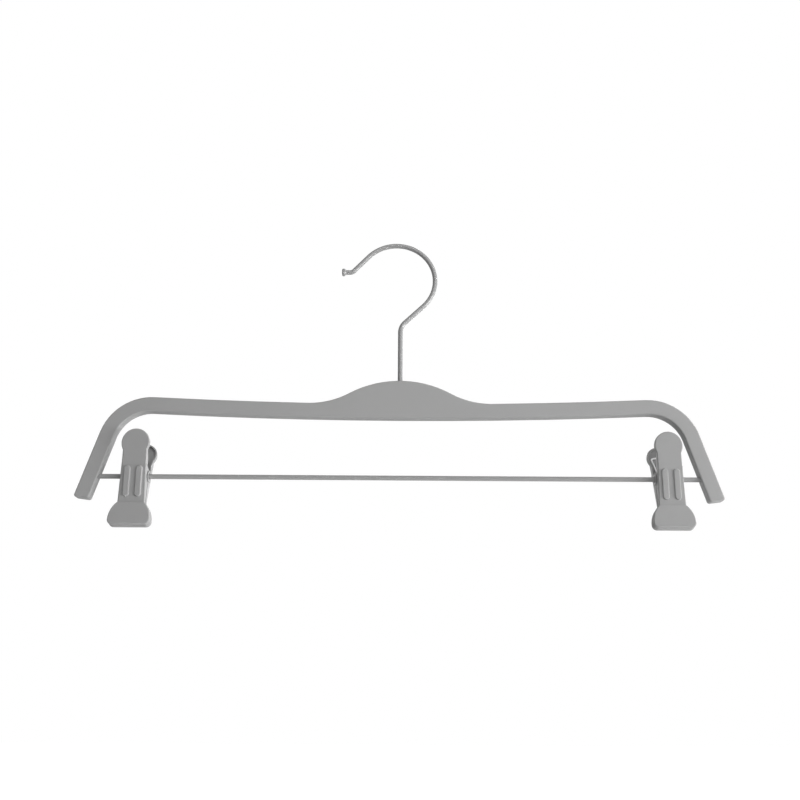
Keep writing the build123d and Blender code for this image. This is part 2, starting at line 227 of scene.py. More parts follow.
class StageSizes(bpy.types.PropertyGroup):
    """Camera, lamps and floor."""

    camera_back: length("Camera back", "From the hanger's middle plane to the camera", 576.5)
    camera_drop: length("Camera drop", "Below the hook's seat", 294.4)
    camera_pitch: angle("Camera pitch", "Upward from level", 18)
    camera_roll: angle("Camera roll", "Round the line of sight", 0.35)
    lens: FloatProperty(name="Lens", description="Focal length in millimetres", default=42.85)
    floor_drop: length("Floor drop", "Below the hook's seat", 520)
    key: power("Key lamp", "Power of the big lamp to the right", 15.2)
    top: power("Top lamp", "Power of the lamp above", 5.3)
    back: power("Back lamp", "Power of the lamp behind", 6.5)
    low: power("Low lamp", "Power of the lamp down on the right", 28)
    under: power("Under lamp", "Power of the lamp below", 0.55)
    ambient: share("Ambient", "Strength of the light from all round", 0.1)


class HangerSettings(bpy.types.PropertyGroup):
    """All that a user of the hanger may change."""

    clip: PointerProperty(type=ClipSizes)
    lever: PointerProperty(type=LeverSizes)
    cap: PointerProperty(type=CapSizes)
    tube: PointerProperty(type=TubeSizes)
    spring: PointerProperty(type=SpringSizes)
    hook: PointerProperty(type=HookSizes)
    finishes: PointerProperty(type=Finishes)
    stage: PointerProperty(type=StageSizes)


def settings():
    """The hanger's settings on the scene."""
    return bpy.context.scene.hanger


# Modelling steps

def start_afresh():
    """Leaves edit mode and selects nothing."""
    if bpy.context.mode != "OBJECT":
        bpy.ops.object.mode_set(mode="OBJECT")
    bpy.ops.object.select_all(action="DESELECT")


def added(name):
    """The primitive just added, named, with its place in its mesh, and in edit mode."""
    piece = bpy.context.object
    piece.name = piece.data.name = name
    apply_place(piece)
    bpy.ops.object.mode_set(mode="EDIT")
    bpy.ops.mesh.select_mode(type="VERT")
    return piece


def pick(piece, kind, passes):
    """Selects the vertices, edges or faces for which the test passes."""
    bpy.ops.mesh.select_all(action="DESELECT")
    bpy.ops.mesh.select_mode(type=kind)
    shape = bmesh.from_edit_mesh(piece.data)
    for element in {"VERT": shape.verts, "EDGE": shape.edges, "FACE": shape.faces}[kind]:
        if passes(element):
            element.select_set(True)
    shape.select_flush_mode()
    bmesh.update_edit_mesh(piece.data)


def move(x=0, y=0, z=0):
    """Moves what is selected."""
    bpy.ops.transform.translate(value=(x, y, z))


def cut_level(z):
    """Cuts what is selected at a level."""
    bpy.ops.mesh.bisect(plane_co=(0, 0, z), plane_no=(0, 0, 1))


def every(element, passes):
    """Whether the places of all the element's vertices pass the test."""
    return all(passes(vertex.co) for vertex in element.verts)


def round_off(piece, radius, segments, passes):
    """Rounds the sharp edges for which the test passes."""
    pick(piece, "EDGE", lambda edge: edge.calc_face_angle(0) > SHARP_ANGLE and passes(edge))
    bpy.ops.mesh.bevel(offset=radius, segments=segments, affect="EDGES")


def circle(name, vertices, radius, place, turn=(0, 0, 0), fill="NGON"):
    """A circle to draw a piece from, with its place in its mesh, selected in edit mode."""
    start_afresh()
    bpy.ops.mesh.primitive_circle_add(
        vertices=vertices, radius=radius, fill_type=fill, location=place, rotation=turn
    )
    piece = added(name)
    bpy.ops.mesh.select_all(action="SELECT")
    return piece


def box(name, low, high):
    """A box between two corners, with its place in its mesh, in edit mode."""
    start_afresh()
    middle = [(near + far) / 2 for near, far in zip(low, high)]
    bpy.ops.mesh.primitive_cube_add(size=1, location=middle)
    bpy.context.object.scale = [far - near for near, far in zip(low, high)]
    return added(name)


def extrude(way):
    """Extrudes what is selected this way and this far."""
    bpy.ops.mesh.extrude_region_move(TRANSFORM_OT_translate={"value": way})


def scale(about, x=1, y=1, z=1):
    """Scales what is selected about a place."""
    bpy.ops.transform.resize(value=(x, y, z), center_override=about)


def ring_to(at, way, growth=1.0):
    """Carries the ring on this way and this far, then scales it about its new centre."""
    extrude(way)
    end = at + way
    if growth != 1:
        scale(end, growth, growth, growth)
    return end


def bend_to(at, heading, toward, radius, turn, steps):
    """Carries the ring round a bend to one side, and gives its new centre and heading."""
    centre, axis = at + toward * radius, heading.cross(toward)
    bpy.ops.mesh.spin(steps=steps, angle=turn, center=centre, axis=-axis)
    rotation = Matrix.Rotation(turn, 3, axis)
    return centre + rotation @ (at - centre), rotation @ heading


def only(piece):
    """Selects this object alone, out of edit mode."""
    start_afresh()
    piece.select_set(True)
    bpy.context.view_layer.objects.active = piece


def modify(piece, kind, **values):
    """Adds a modifier with these values and applies it."""
    only(piece)
    modifier = piece.modifiers.new(kind.title(), kind)
    for name, value in values.items():
        setattr(modifier, name, value)
    bpy.ops.object.modifier_apply(modifier=modifier.name)


def apply_place(piece):
    """Puts the object's place, turn and scale into its mesh."""
    only(piece)
    bpy.ops.object.transform_apply(location=True, rotation=True, scale=True)


def face_outward(piece):
    """Merges doubles and turns all faces outward."""
    only(piece)
    bpy.ops.object.mode_set(mode="EDIT")
    bpy.ops.mesh.select_all(action="SELECT")
    bpy.ops.mesh.remove_doubles(threshold=MERGE_DISTANCE)
    bpy.ops.mesh.normals_make_consistent(inside=False)
    bpy.ops.object.mode_set(mode="OBJECT")


def copy_of(piece, name):
    """A copy with a mesh of its own."""
    only(piece)
    bpy.ops.object.duplicate(linked=False)
    twin = bpy.context.object
    twin.name = twin.data.name = name
    return twin


def turned_round(piece, name):
    """A copy turned half round the clip's upright axis, as the rear half is to the front half."""
    twin = copy_of(piece, name)
    twin.rotation_euler.z = pi
    apply_place(twin)
    return twin


def copy_on_bar(pattern, side, name):
    """A side's copy of a piece made in the clip's own frame, in its place on the bar."""
    piece = copy_of(pattern, f"{side}_{name}")
    piece.location = JOINTS[f"{side}_clip_open"]["pos_m"]
    piece.rotation_euler.x = -settings().clip.swing
    apply_place(piece)
    return piece


def joined(piece, tool, operation):
    """Unites a piece with a tool body, or cuts it by one, and clears the tool away."""
    modify(piece, "BOOLEAN", object=tool, operation=operation, solver="MANIFOLD")
    bpy.data.objects.remove(tool)


def shade_evenly(piece, degrees):
    """Smooth shading up to an angle, with flat faces kept flat beside their rounded edges."""
    only(piece)
    bpy.ops.object.shade_smooth_by_angle(angle=radians(degrees))
    modify(piece, "WEIGHTED_NORMAL", keep_sharp=True)


def deliver(piece, body, node, slot):
    """Paints a finished piece and hands it to the frame, on a body if given, in a node's place."""
    piece.data.materials.clear()
    piece.data.materials.append(bpy.data.materials[slot])
    if body:
        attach(piece, body)
    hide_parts(node)


def deliver_halves(front, rear, made, node, slot, degrees):
    """Puts copies of a front and a rear pattern on both clips, and clears the patterns away."""
    for side in SIDES:
        for pattern, half in ((front, "front"), (rear, "rear")):
            piece = copy_on_bar(pattern, side, f"{half}_{made}")
            shade_evenly(piece, degrees)
            deliver(piece, f"{side}_{half}_half", f"{side}_{half}_{node}", slot)
    for pattern in (front, rear):
        bpy.data.objects.remove(pattern)


# Finishes

# What a noise texture's value keeps to, for the most part
NOISE_SPAN = (0.3, 0.7)
# Paint by slot. A peel's height is in millimetres, and the edge grey is what worn edges show; on the levers it is
# light, a painted highlight along the rims on top of the worn paint.
PAINTS = {
    "board_paint": dict(
        colour="board", cloud_scale=28.0, peel_scale=520.0, peel_mm=0.02, edge_grey=0.42, wear_and_highlight=0.35
    ),
    "bar_steel": dict(
        colour="bar", cloud_scale=60.0, peel_scale=900.0, peel_mm=0.003, edge_grey=0.5, wear_and_highlight=0.03, shine=0.2
    ),
    "hook_steel": dict(
        colour="hook", cloud_scale=60.0, peel_scale=2600.0, peel_mm=0.001, edge_grey=0.5, wear_and_highlight=0.03,
        shine=0.6, rougher=-0.14
    ),
    # The levers' edges are lightened strongly: a painted highlight along their rims, on top of worn paint
    "lever_paint": dict(
        colour="lever", cloud_scale=120.0, peel_scale=1500.0, peel_mm=0.01, edge_grey=0.6, wear_and_highlight=0.8
    ),
    "jaw_cap": dict(
        colour="cap", cloud_scale=150.0, peel_scale=2200.0, peel_mm=0.02, edge_grey=0.38, wear_and_highlight=0.25,
        cloud=0.06, rougher=0.12
    ),
}
# Metal by slot. A streak is the noise's scale along X, Y and Z, low along the grain.
METALS = {
    "spring_steel": dict(
        colour="spring", streak=(900.0, 900.0, 240.0), roughness=0.3, depth=0.12, metallic=0.4
    ),
    "tube_steel": dict(
        colour="tube", streak=(150.0, 2600.0, 2600.0), roughness=0.5, depth=0.2, metallic=0.25
    ),
    "pin_steel": dict(
        colour="tube", streak=(2600.0, 150.0, 2600.0), roughness=0.36, depth=0.2, metallic=0.8
    ),
}
STREAK_HEIGHT = 0.01 * MM
SKIN_OUTPUTS = (("Colour", "Color"), ("Roughness", "Float"), ("Height", "Float"))


def new_group(name, inputs, outputs):
    """A shader node group with these sockets, what it is given, and its output node."""
    group = bpy.data.node_groups.new(name, "ShaderNodeTree")
    for way, sockets in (("INPUT", inputs), ("OUTPUT", outputs)):
        for socket, kind, *default in sockets:
            kind = f"NodeSocket{kind}"
            made = group.interface.new_socket(name=socket, in_out=way, socket_type=kind)
            if default:
                made.default_value = default[0]
    given = group.nodes.new("NodeGroupInput").outputs
    return group, given, group.nodes.new("NodeGroupOutput")


def feed(tree, made, inputs):
    """Gives a node's inputs, by name or number, their values or links."""
    for name, value in inputs.items():
        if isinstance(value, bpy.types.NodeSocket):
            tree.links.new(value, made.inputs[name])
        else:
            made.inputs[name].default_value = value


def node(tree, kind, inputs=None, **properties):
    """A node with its properties and inputs."""
    made = tree.nodes.new(f"ShaderNode{kind}")
    for name, value in properties.items():
        setattr(made, name, value)
    feed(tree, made, inputs or {})
    return made


def reckon(tree, operation, first, second=0.0):
    """The result of a math node."""
    return node(tree, "Math", {0: first, 1: second}, operation=operation).outputs[0]


def vector_math(tree, operation, first, second):
    """A vector math node."""
    return node(tree, "VectorMath", {0: first, 1: second}, operation=operation)


def spread(tree, value, low, high, to_low, to_high):
    """A value taken from one span to another, and held inside it."""
    span = {"From Min": low, "From Max": high, "To Min": to_low, "To Max": to_high}
    return node(tree, "MapRange", {"Value": value, **span}).outputs[0]


def varied(tree, value, least, most):
    """A noise value's usual span taken to another one."""
    return spread(tree, value, *NOISE_SPAN, least, most)


def blended(tree, factor, first, second):
    """Two colours mixed."""
    return node(tree, "Mix", {0: factor, 6: first, 7: second}, data_type="RGBA").outputs[2]


def grey(value):
    """A neutral colour."""
    return (value, value, value, 1)


def toned(tree, noise_value, depth, colour_value):
    """A colour made lighter and darker by a noise value, as deep as given."""
    tone = reckon(tree, "MULTIPLY", reckon(tree, "SUBTRACT", noise_value, 0.5), depth)
    inputs = {"Value": reckon(tree, "ADD", tone, 1.0), "Color": colour_value}
    return node(tree, "HueSaturation", inputs).outputs[0]


def noise(tree, coordinates, pitch, detail):
    """A noise texture's value."""
    inputs = {"Vector": coordinates, "Scale": pitch, "Detail": detail, "Roughness": 0.5}
    return node(tree, "TexNoise", inputs).outputs[0]


def paint_skin_group():
    """Makes sprayed paint: cloudy shade, a fine peel, and specks in the gloss."""
    group, given, made = new_group(
        "paint skin",
        [
            ("Colour", "Color", grey(0.35)),
            ("Cloud", "Float", 0.04),
            ("Cloud scale", "Float", 40.0),
            ("Peel scale", "Float", 900.0),
            ("Roughness", "Float", 0.5),
        ],
        SKIN_OUTPUTS,
    )
    where = node(group, "TexCoord").outputs["Object"]
    cloud = noise(group, where, given["Cloud scale"], 4.0)
    clouded = toned(group, cloud, given["Cloud"], given["Colour"])
    peel = noise(group, where, given["Peel scale"], 1.0)
    rough = reckon(group, "ADD", given["Roughness"], varied(group, peel, -0.04, 0.04))
    feed(group, made, {"Colour": clouded, "Roughness": rough, "Height": peel})


def edge_wear_and_highlight_group():
    """Makes a broken mask along the piece's own edges: where paint is worn thin, and, where a paint lightens it
    strongly, a painted highlight on the rims.
    """
    group, given, made = new_group(
        "edge wear",
        [("Width", "Float", 0.0004), ("Amount", "Float", 0.5), ("Break scale", "Float", 300.0)],
        [("Mask", "Float")],
    )
    normal = node(group, "NewGeometry").outputs["Normal"]
    bevel = node(group, "Bevel", {"Radius": given["Width"]}, samples=6).outputs[0]
    agreement = vector_math(group, "DOT_PRODUCT", normal, bevel).outputs["Value"]
    edge = spread(group, agreement, 0.995, 0.85, 0.0, 1.0)
    where = node(group, "TexCoord").outputs["Object"]
    breaks = noise(group, where, given["Break scale"], 3.0)
    broken = reckon(group, "MULTIPLY", edge, spread(group, breaks, 0.4, 0.6, 0.35, 1.0))
    feed(group, made, {"Mask": reckon(group, "MULTIPLY", broken, given["Amount"])})


def drawn_metal_group():
    """Makes drawn or turned metal: streaks along the piece, in colour, gloss and height."""
    group, given, made = new_group(
        "drawn metal",
        [
            ("Colour", "Color", grey(0.6)),
            ("Streak", "Vector", (60.0, 2500.0, 2500.0)),
            ("Depth", "Float", 0.12),
            ("Roughness", "Float", 0.3),
        ],
        SKIN_OUTPUTS,
    )
    where = node(group, "TexCoord").outputs["Object"]
    stretched = vector_math(group, "MULTIPLY", where, given["Streak"]).outputs[0]
    streak = noise(group, stretched, 1.0, 3.0)
    stain = varied(group, noise(group, where, 220.0, 3.0), -0.06, 0.1)
    streaked = toned(group, streak, given["Depth"], given["Colour"])
    rough = reckon(group, "ADD", given["Roughness"], stain)
    feed(group, made, {"Colour": streaked, "Roughness": rough, "Height": streak})


def new_finish(name):
    """The tree and shader of a new material of this name, which a plain one gives up."""
    plain = bpy.data.materials.get(name)
    if plain:
        plain.name = f"{name} plain"
    finish = bpy.data.materials.new(name)
    finish.use_nodes = True
    return finish.node_tree, finish.node_tree.nodes["Principled BSDF"]


def use_group(tree, name, inputs):
    """The outputs of a node group placed in a material with its own values."""
    placed = tree.nodes.new("ShaderNodeGroup")
    placed.node_tree = bpy.data.node_groups[name]
    feed(tree, placed, inputs)
    return placed.outputs


def clothe(tree, shader, colour_value, skin, distance, others):
    """Gives a shader its colour, a skin's gloss and bumps this high, and other inputs."""
    bumps = {"Height": skin["Height"], "Distance": distance, "Strength": 1.0}
    normal = node(tree, "Bump", bumps).outputs[0]
    inputs = {"Base Color": colour_value, "Roughness": skin["Roughness"], "Normal": normal}
    feed(tree, shader, {**inputs, **others})


def painted(
    slot, colour, cloud_scale, peel_scale, peel_mm, edge_grey, wear_and_highlight, cloud=0.05, shine=0.4, rougher=0.0
):
    """Satin paint with lighter edges: worn paint, and on the levers a painted highlight along the rims."""
    colours = settings().finishes
    tree, shader = new_finish(slot)
    values = {
        "Colour": (*getattr(colours, colour), 1),
        "Cloud": cloud,
        "Cloud scale": cloud_scale,
        "Peel scale": peel_scale,
        "Roughness": colours.satin + rougher,
    }
    skin = use_group(tree, "paint skin", values)
    # Worn edges, which on the levers are also a painted highlight along the rims
    mask = use_group(tree, "edge wear", {"Amount": wear_and_highlight})["Mask"]
    colour_value = blended(tree, mask, skin["Colour"], grey(edge_grey))
    clothe(tree, shader, colour_value, skin, peel_mm * MM, {"Specular IOR Level": shine})


def drawn(slot, colour, streak, roughness, depth, metallic):
    """Bare or plated drawn metal."""
    colours = settings().finishes
    tree, shader = new_finish(slot)
    values = {"Streak": streak, "Roughness": roughness, "Depth": depth}
    values["Colour"] = (*getattr(colours, colour), 1)
    skin = use_group(tree, "drawn metal", values)
    clothe(tree, shader, skin["Colour"], skin, STREAK_HEIGHT, {"Metallic": metallic})


def make_finishes():
    """Makes a finish for each of the record's material slots."""
    paint_skin_group()
    edge_wear_and_highlight_group()
    drawn_metal_group()
    for slot, recipe in PAINTS.items():
        painted(slot, **recipe)
    for slot, recipe in METALS.items():
        drawn(slot, **recipe)


class HANGER_OT_finishes(bpy.types.Operator):
    """Gives the board, bar, hook and pin, and every node that stays in view, its finish"""

    bl_idname = "hanger.finishes"
    bl_label = "Finishes"

    def execute(self, context):
        make_finishes()
        slots = {part["node"]: part["material_slot"] for part in frame["record"]["subparts"]}
        for name, shown in frame["nodes"].items():
            for material_slot in shown.material_slots:
                material_slot.material = bpy.data.materials[slots[name]]
        return {"FINISHED"}


# Springs

SPRING_WIRE_SIDES = 16
COIL_STEPS = 96
SPRING_BEND_STEPS = 8


def spring_lines():
    """Worked out: the legs' slope and length, and the coil's turn, half length and rear end."""
    sizes, clip = settings().spring, settings().clip
    plate = clip.hinge_to_face * cos(clip.tilt) - clip.sheet - sizes.wire / 2 - sizes.rest
    end_y = plate / cos(clip.tilt) + sizes.end_height * tan(clip.tilt)
    reach = hypot(end_y, sizes.end_height)
    slope = atan2(end_y, sizes.end_height) - asin(sizes.radius / reach)
    turn = FULL_TURN * sizes.turns + pi - 2 * slope
    half = sizes.pitch * turn / (2 * FULL_TURN)
    foot = Vector((-half, sizes.radius * cos(slope), -sizes.radius * sin(slope)))
    return slope, sqrt(reach**2 - sizes.radius**2), turn, half, foot


def spring_coil(name):
    """The coil, wound by a screw modifier from one section of the wire."""
    sizes = settings().spring
    slope, _, turn, half, foot = spring_lines()
    piece = circle(name, SPRING_WIRE_SIDES, sizes.wire / 2, foot, (-slope, 0, 0), "NOTHING")
    modify(
        piece, "SCREW", axis="X", angle=-turn, screw_offset=2 * half, steps=COIL_STEPS,
        render_steps=COIL_STEPS, use_merge_vertices=False,
    )
    bpy.ops.object.mode_set(mode="EDIT")
    pick(piece, "EDGE", lambda edge: edge.is_boundary)
    bpy.ops.mesh.edge_face_add()
    face_outward(piece)
    bpy.ops.object.shade_smooth_by_angle(angle=radians(SMOOTH["spring"]))
    return piece


def spring_leg(name):
    """The rear leg: up from the coil, bent inward at the pad, and rounded at its cut end."""
    sizes = settings().spring
    slope, leg, _, _, foot = spring_lines()
    up = Vector((-sizes.splay, leg * sin(slope), leg * cos(slope))) / leg
    up.normalize()
    inward = (Vector((1, 0, 0)) - up * up.x).normalized()
    piece = circle(name, SPRING_WIRE_SIDES, sizes.wire / 2, foot, (-slope, 0, 0))
    at = ring_to(foot, up * (leg - sizes.bend))
    at, heading = bend_to(at, up, inward, sizes.bend, QUARTER_TURN, SPRING_BEND_STEPS)
    at = ring_to(at, heading * (sizes.end_length - sizes.bend - sizes.end_round))
    ring_to(at, heading * sizes.end_round, 1 - sizes.end_round / sizes.wire)
    face_outward(piece)
    bpy.ops.object.shade_smooth_by_angle(angle=radians(SMOOTH["spring"]))
    return piece


class HANGER_OT_springs(bpy.types.Operator):
    """Winds the two springs, each in three pieces: a coil that stays in place on the bar, and a leg on each lever
    """

    bl_idname = "hanger.springs"
    bl_label = "Springs"

    def execute(self, context):
        coil, rear = spring_coil("spring_coil"), spring_leg("spring_rear_leg")
        front = turned_round(rear, "spring_front_leg")
        for side in SIDES:
            node_name = f"{side}_spring"
            for pattern, half_name in ((rear, "rear"), (front, "front")):
                leg = copy_on_bar(pattern, side, f"spring_{half_name}_leg")
                deliver(leg, f"{side}_{half_name}_half", node_name, "spring_steel")
            wound = copy_on_bar(coil, side, "spring_coil")
            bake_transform(wound)
            deliver(wound, None, node_name, "spring_steel")
        for pattern in (coil, rear, front):
            bpy.data.objects.remove(pattern)
        return {"FINISHED"}


# Hook

HOOK_WIRE_SIDES = 24
STEM_BEND_STEPS = 12
CROOK_STEPS = 72
TIP_BEND_STEPS = 10
# Rings of the upset head, neck to end: shares of its length and of its radius
HEAD_RING_SHARES = (
    (0.1, 0.64), (0.28, 0.78), (0.4, 0.92), (0.5, 1.0), (0.78, 1.0), (0.9, 0.93), (0.97, 0.8), (1.0, 0.6)
)


def hook_shank(at):
    """The shank in the board: a rounded end and the retaining pin's groove."""
    sizes = settings().hook
    round_share = 1 - sizes.shank_round / (sizes.wire / 2)
    groove_share = 1 - sizes.groove_depth / (sizes.wire / 2)
    up = Vector((0, 0, 1))
    at = ring_to(at, up * sizes.shank_round, 1 / round_share)
    at = ring_to(at, up * (-sizes.groove_drop - sizes.groove_width / 2 - at.z))
    at = ring_to(at, up * 0, groove_share)
    at = ring_to(at, up * sizes.groove_width)
    return ring_to(at, up * 0, 1 / groove_share)


def wire_hook(name):
    """The hook, drawn ring by ring from the shank's end to the upset head."""
    sizes = settings().hook
    wire = sizes.wire / 2
    centre = Vector((-sizes.crook_offset, 0, wire - sizes.crook_radius))
    foot_way = Vector((cos(sizes.foot_angle), 0, sin(sizes.foot_angle)))
    foot = centre + foot_way * sizes.crook_radius
    corner = Vector((0, 0, foot.z + foot.x / tan(sizes.foot_angle)))
    stem_turn = -sizes.foot_angle
    up, left = Vector((0, 0, 1)), Vector((-1, 0, 0))
    end = Vector((0, 0, -sizes.shank_drop))
    piece = circle(name, HOOK_WIRE_SIDES, wire - sizes.shank_round, end)
    at = hook_shank(end)
    trim = sizes.stem_bend * tan(stem_turn / 2)
    at = ring_to(at, corner - up * trim - at)
    at, heading = bend_to(at, up, -left, sizes.stem_bend, stem_turn, STEM_BEND_STEPS)
    at = ring_to(at, foot - at)
    crook_turn = sizes.tip_angle - sizes.foot_angle
    at, heading = bend_to(at, heading, -foot_way, sizes.crook_radius, crook_turn, CROOK_STEPS)
    tip_turn = sizes.tip_angle - QUARTER_TURN
    run = (at.z + sizes.tip_drop) / sin(tip_turn) - sizes.tip_bend * tan(tip_turn / 2)
    at = ring_to(at, heading * run)
    toward = (left - heading * left.dot(heading)).normalized()
    at = bend_to(at, heading, toward, sizes.tip_bend, tip_turn, TIP_BEND_STEPS)[0]
    at = ring_to(at, left * (sizes.neck_reach + at.x))
    radius, reach = wire, 0.0
    for reach_share, radius_share in HEAD_RING_SHARES:
        onward = (reach_share - reach) * sizes.head_length
        wide = radius_share * sizes.head_radius
        at = ring_to(at, left * onward, wide / radius)
        radius, reach = wide, reach_share
    face_outward(piece)
    shade_evenly(piece, SMOOTH["hook"])
    return piece


class HANGER_OT_hook(bpy.types.Operator):
    """Makes the bent wire hook with its upset head"""

    bl_idname = "hanger.hook"
    bl_label = "Hook"

    def execute(self, context):
        deliver(wire_hook("bent_wire_hook"), "hook", "hook", "hook_steel")
        return {"FINISHED"}


# Jaw caps

CAP_ROWS = 10
CORNER_SEGMENTS = 8
RIM_SEGMENTS = 4


def cap_half_width(level):
    """Half of a cap's width at a level below the hinge: an arc to the widest level, then straight."""
    sizes = settings().cap
    if level >= sizes.wide_drop:
        return sizes.width / 2
    top = Vector((sizes.top_width / 2, sizes.top_drop))
    shoulder = Vector((sizes.shoulder_width / 2, sizes.shoulder_drop))
    wide = Vector((sizes.width / 2, sizes.wide_drop))
    first, second = shoulder - top, wide - top
    area = 2 * first.cross(second)
    near, far = first.length_squared, second.length_squared
    across = Vector((second.y * near - first.y * far, first.x * far - second.x * near))
    centre = top + across / area
    return centre.x + sqrt(max((top - centre).length_squared - (level - centre.y) ** 2, 0))


def jaw_cap(name):
    """The front cap: a round-shouldered block with soft rims, a socket lip and a grooved grip."""
    sizes = settings().cap
    inner, outer = sizes.gap / 2, sizes.thickness / 2
    half = sizes.width / 2
    piece = box(name, (-half, -outer, -sizes.drop), (half, -inner, -sizes.top_drop))
    step = (sizes.wide_drop - sizes.top_drop) / CAP_ROWS
    near = step / 4
    levels = [sizes.top_drop + step * row for row in range(CAP_ROWS + 1)]
    for level in levels[1:]:
        bpy.ops.mesh.select_all(action="SELECT")
        cut_level(-level)
    for level in levels:
        pick(piece, "VERT", lambda vertex: abs(vertex.co.z + level) < near)
        scale((0, 0, -level), x=2 * cap_half_width(level) / sizes.width)
    top, bottom = -sizes.top_drop - near, -sizes.drop + near

    def at_a_corner(edge):
        below = every(edge, lambda at: at.z < bottom)
        return below and edge.verts[0].co.x * edge.verts[1].co.x > 0

    def on_a_rim(edge):
        level = abs(edge.verts[0].co.y - edge.verts[1].co.y) < inner / 4
        return level and not every(edge, lambda at: at.z > top)

    round_off(piece, sizes.corner, CORNER_SEGMENTS, at_a_corner)
    round_off(piece, sizes.edge, RIM_SEGMENTS, on_a_rim)
    height = bmesh.types.BMFace.calc_center_median
    pick(piece, "FACE", lambda face: face.normal.z > FACING_SHARE and height(face).z > top)
    bpy.ops.mesh.inset(thickness=sizes.wall)
    extrude((0, 0, -sizes.lip_depth))
    grooves = int((sizes.drop - sizes.corner - sizes.shoulder_drop) / sizes.groove_pitch) + 1
    for number in range(grooves):
        upper = -(sizes.shoulder_drop + sizes.groove_pitch * number)
        lower = upper - sizes.groove
        for level in (upper, lower):
            pick(piece, "FACE", lambda face: face.normal.y > FACING_SHARE)
            cut_level(level)
        pick(piece, "FACE", lambda face: face.normal.y > FACING_SHARE and lower < height(face).z < upper)
        extrude((0, -sizes.groove, 0))
    face_outward(piece)
    return piece


class HANGER_OT_caps(bpy.types.Operator):
    """Moulds the four soft caps on the jaws"""

    bl_idname = "hanger.caps"
    bl_label = "Jaw caps"

    def execute(self, context):
        front = jaw_cap("front_cap")
        rear = turned_round(front, "rear_cap")
        deliver_halves(front, rear, "cap_moulding", "jaw_cap", "jaw_cap", SMOOTH["cap"])
        return {"FINISHED"}


# Hinge tubes

TUBE_SIDES = 40


def hinge_tube(name):
    """A tube with a rolled lip at each end, drawn ring by ring from the bore's mouth."""
    clip, sizes = settings().clip, settings().tube
    half = clip.hinge_width / 2 + clip.ear_gap + sizes.lip_thickness
    neck = half - sizes.lip_thickness
    turn = (0, QUARTER_TURN, 0)
    piece = circle(name, TUBE_SIDES, sizes.bore, (-half, 0, 0), turn, "NOTHING")
    x, ring = -half, sizes.bore
    tube, lip = sizes.radius, sizes.lip_radius
    for next_x, next_ring in (
        (-half, lip), (-neck, lip), (-neck, tube), (neck, tube), (neck, lip), (half, lip),
        (half, sizes.bore),
    ):
        extrude((next_x - x, 0, 0))
        growth = next_ring / ring
        scale((next_x, 0, 0), y=growth, z=growth)
        x, ring = next_x, next_ring
    pick(piece, "EDGE", lambda edge: edge.is_boundary)
    bpy.ops.mesh.bridge_edge_loops()
    rim, wall = (tube + lip) / 2, (tube + sizes.bore) / 2
    for far_enough in (lambda at: hypot(*at.yz) > rim, lambda at: hypot(*at.yz) < wall):
        round_off(piece, sizes.lip_edge, RIM_SEGMENTS, lambda edge: every(edge, far_enough))
    face_outward(piece)
    return piece


class HANGER_OT_tubes(bpy.types.Operator):
    """Rolls the two hinge tubes that carry the clips on the bar"""

    bl_idname = "hanger.tubes"
    bl_label = "Hinge tubes"

    def execute(self, context):
        pattern = hinge_tube("tube")
        for side in SIDES:
            tube = copy_on_bar(pattern, side, "rolled_tube")
            shade_evenly(tube, SMOOTH["tube"])
            deliver(tube, f"{side}_slider", f"{side}_hinge_tube", "tube_steel")
        bpy.data.objects.remove(pattern)
        return {"FINISHED"}


# Levers, made with the plate upright in front of the hinge axis, and tilted at the end

PAD_SIDES = 72
RIB_SIDES = 22
EAR_SIDES = 48
# Where the pad runs into the body, below its middle
NECK_ANGLE = radians(30)
# What lies this many sheets or more behind the plate's face is a cut edge
CUT_EDGE_SHEETS = 1.2
# The outer ear's place inside its flange, in sheets, just off its face
OUTER_EAR_SHEETS = 1.03
# The drill's length against the hinge's width
DRILL_SHARE = 1.2
# A rib from its foot to its top: shares of its width and of its height
RIB_SHOULDER_SHARES = ((0.96, 0.1), (0.9, 0.5), (0.83, 0.85), (0.75, 0.97), (0.62, 1))


def plate_distance():
    """From the hinge axis square to the plate's outer face."""
    clip = settings().clip
    return clip.hinge_to_face * cos(clip.tilt)


def up_plate(height):
    """How far up the upright plate a point of its face lies that has this height once tilted."""
    clip = settings().clip
    return height / cos(clip.tilt) + clip.hinge_to_face * sin(clip.tilt)


def flange_depth(level, edge):
    """Depth of a flange at a level of the upright plate, for an edge this far from the middle plane."""
    tilt = settings().clip.tilt
    return plate_distance() + (level * sin(tilt) - edge) / cos(tilt)


